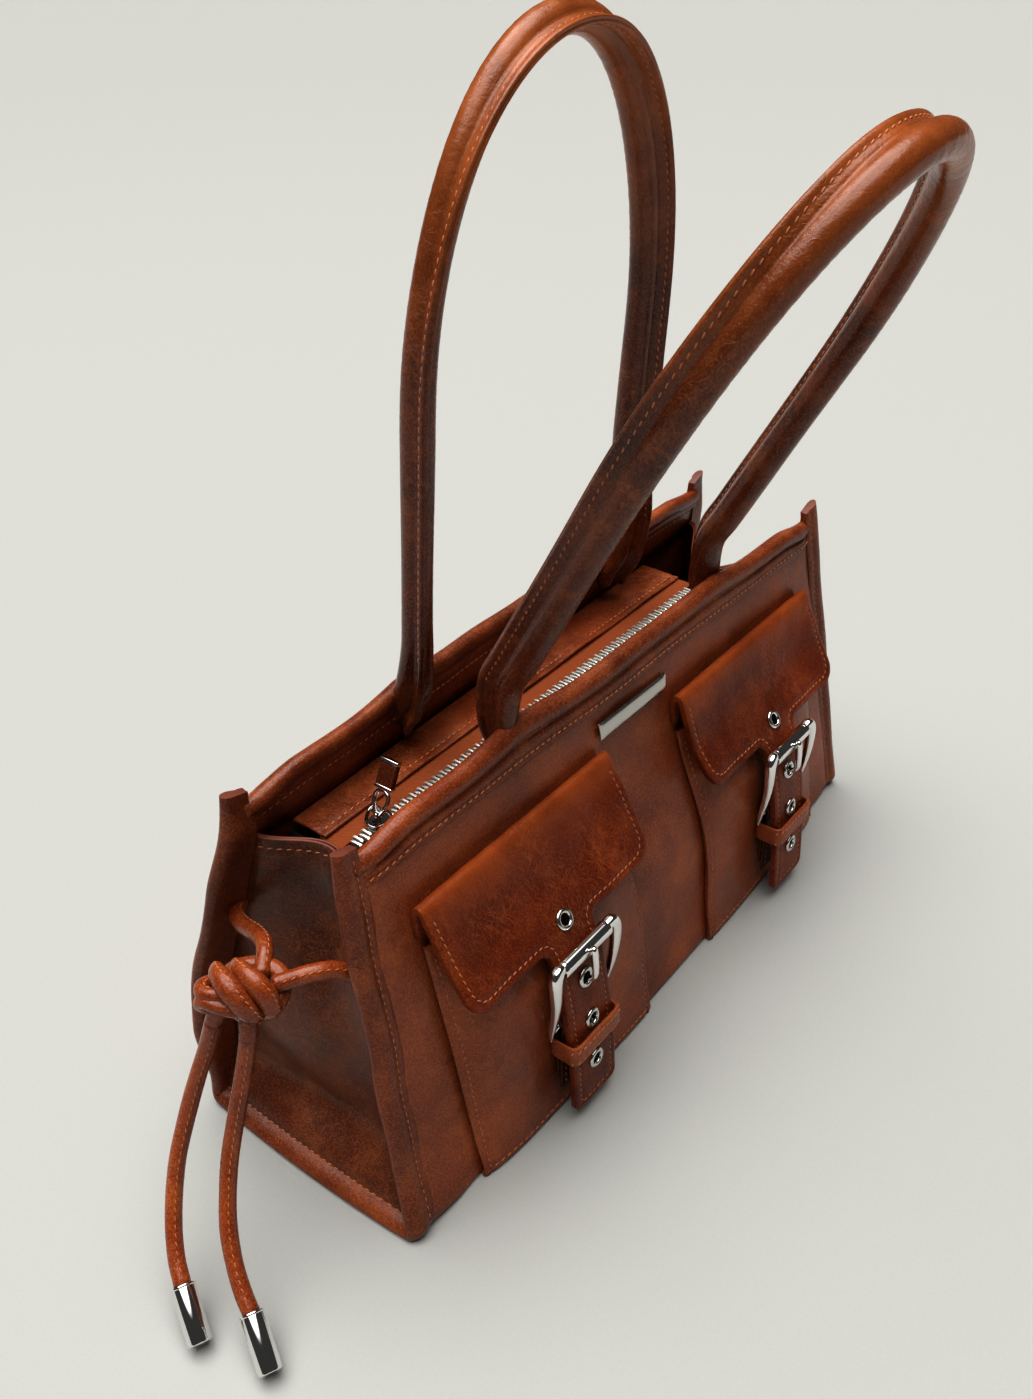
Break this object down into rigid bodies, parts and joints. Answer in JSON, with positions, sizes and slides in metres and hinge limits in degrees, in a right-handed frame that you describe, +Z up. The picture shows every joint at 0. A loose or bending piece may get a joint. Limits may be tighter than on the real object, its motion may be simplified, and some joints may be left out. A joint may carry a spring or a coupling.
{
  "type": "shoulder bag",
  "caption": "Leather shoulder bag with a box body, tall padded handles, a recessed zip, buckled flap pockets on its front and a knotted tie at one end.",
  "frame": {"origin": "centre of the bottom's resting face", "axes": "+X along the bag to its right end seen from the pockets, -Y out of the pocket side, +Z up"},
  "size_m": [0.3937, 0.1789, 0.3608],
  "materials": {
    "leather": "waxed pull-up leather, cognac brown, semi-gloss",
    "board": "stiff grey board",
    "lining": "black woven cotton",
    "zip_tape": "orange-tan twill",
    "zip_metal": "bright nickel",
    "polished_metal": "polished chrome",
    "eyelet_metal": "satin nickel"
  },
  "bodies": {
    "bag": {"front_panel": "leather", "back_panel": "leather", "bottom_panel": "leather", "base_board": "board", "lining": "lining", "left_gusset": "leather", "right_gusset": "leather", "left_end_seam": "leather", "right_end_seam": "leather", "front_top_edge": "leather", "back_top_edge": "leather", "front_zip_strip": "leather", "back_zip_strip": "leather", "front_zip_tape": "zip_tape", "back_zip_tape": "zip_tape", "front_zip_teeth": "zip_metal", "back_zip_teeth": "zip_metal", "front_handle_left_foot": "leather", "front_handle_right_foot": "leather", "back_handle_left_foot": "leather", "back_handle_right_foot": "leather", "front_badge": "polished_metal", "left_pocket": "leather", "left_snap_socket": "eyelet_metal", "right_pocket": "leather", "right_snap_socket": "eyelet_metal", "left_tie_back_strand": "leather", "left_tie_front_strand": "leather", "left_tie_knot": "leather", "left_tie_tail_1": "leather", "left_tie_tip_1": "polished_metal", "left_tie_tail_2": "leather", "left_tie_tip_2": "polished_metal"},
    "slider": {"zip_slider": "zip_metal"},
    "pull": {"zip_pull_link": "zip_metal", "zip_pull_tab": "leather"},
    "front_handle": {"front_handle_loop": "leather"},
    "back_handle": {"back_handle_loop": "leather"},
    "left_flap_body": {"left_flap": "leather", "left_eyelet_1": "eyelet_metal", "left_eyelet_2": "eyelet_metal", "left_eyelet_3": "eyelet_metal", "left_eyelet_4": "eyelet_metal", "left_buckle_frame": "polished_metal", "left_back_strap": "leather", "left_keeper": "leather", "left_snap_cap": "eyelet_metal"},
    "left_roller": {"left_buckle_roller": "polished_metal"},
    "left_prong": {"left_buckle_prong": "polished_metal"},
    "right_flap_body": {"right_flap": "leather", "right_eyelet_1": "eyelet_metal", "right_eyelet_2": "eyelet_metal", "right_eyelet_3": "eyelet_metal", "right_eyelet_4": "eyelet_metal", "right_buckle_frame": "polished_metal", "right_back_strap": "leather", "right_keeper": "leather", "right_snap_cap": "eyelet_metal"},
    "right_roller": {"right_buckle_roller": "polished_metal"},
    "right_prong": {"right_buckle_prong": "polished_metal"}
  },
  "joints": [
    {"name": "front_handle_hinge", "type": "hinge", "parent": "bag", "child": "front_handle", "pos_m": [0, -0.016, 0.157], "axis": [-1, 0, 0], "range_deg": [-58, 23]},
    {"name": "back_handle_hinge", "type": "hinge", "parent": "bag", "child": "back_handle", "pos_m": [0, 0.016, 0.157], "axis": [-1, 0, 0], "range_deg": [-20, 93]},
    {"name": "zip_slide", "type": "slide", "parent": "bag", "child": "slider", "axis": [1, 0, 0], "range_m": [0, 0.18]},
    {"name": "pull_swing", "type": "hinge", "parent": "slider", "child": "pull", "pos_m": [-0.106, 0, 0.1282], "axis": [0, 1, 0], "range_deg": [-104, 54]},
    {"name": "left_flap_hinge", "type": "hinge", "parent": "bag", "child": "left_flap_body", "pos_m": [-0.075, -0.03399, 0.117], "axis": [-1, 0, 0], "range_deg": [0, 120]},
    {"name": "left_prong_hinge", "type": "hinge", "parent": "left_flap_body", "child": "left_prong", "pos_m": [-0.075, -0.0599, 0.047], "axis": [1, 0, 0], "range_deg": [0, 2.5]},
    {"name": "left_roller_spin", "type": "hinge", "parent": "left_flap_body", "child": "left_roller", "pos_m": [-0.075, -0.0629, 0.077], "axis": [1, 0, 0], "continuous": true},
    {"name": "right_flap_hinge", "type": "hinge", "parent": "bag", "child": "right_flap_body", "pos_m": [0.075, -0.03626, 0.117], "axis": [-1, 0, 0], "range_deg": [0, 120]},
    {"name": "right_prong_hinge", "type": "hinge", "parent": "right_flap_body", "child": "right_prong", "pos_m": [0.075, -0.0599, 0.047], "axis": [1, 0, 0], "range_deg": [0, 2.5]},
    {"name": "right_roller_spin", "type": "hinge", "parent": "right_flap_body", "child": "right_roller", "pos_m": [0.075, -0.0629, 0.077], "axis": [1, 0, 0], "continuous": true}
  ]
}
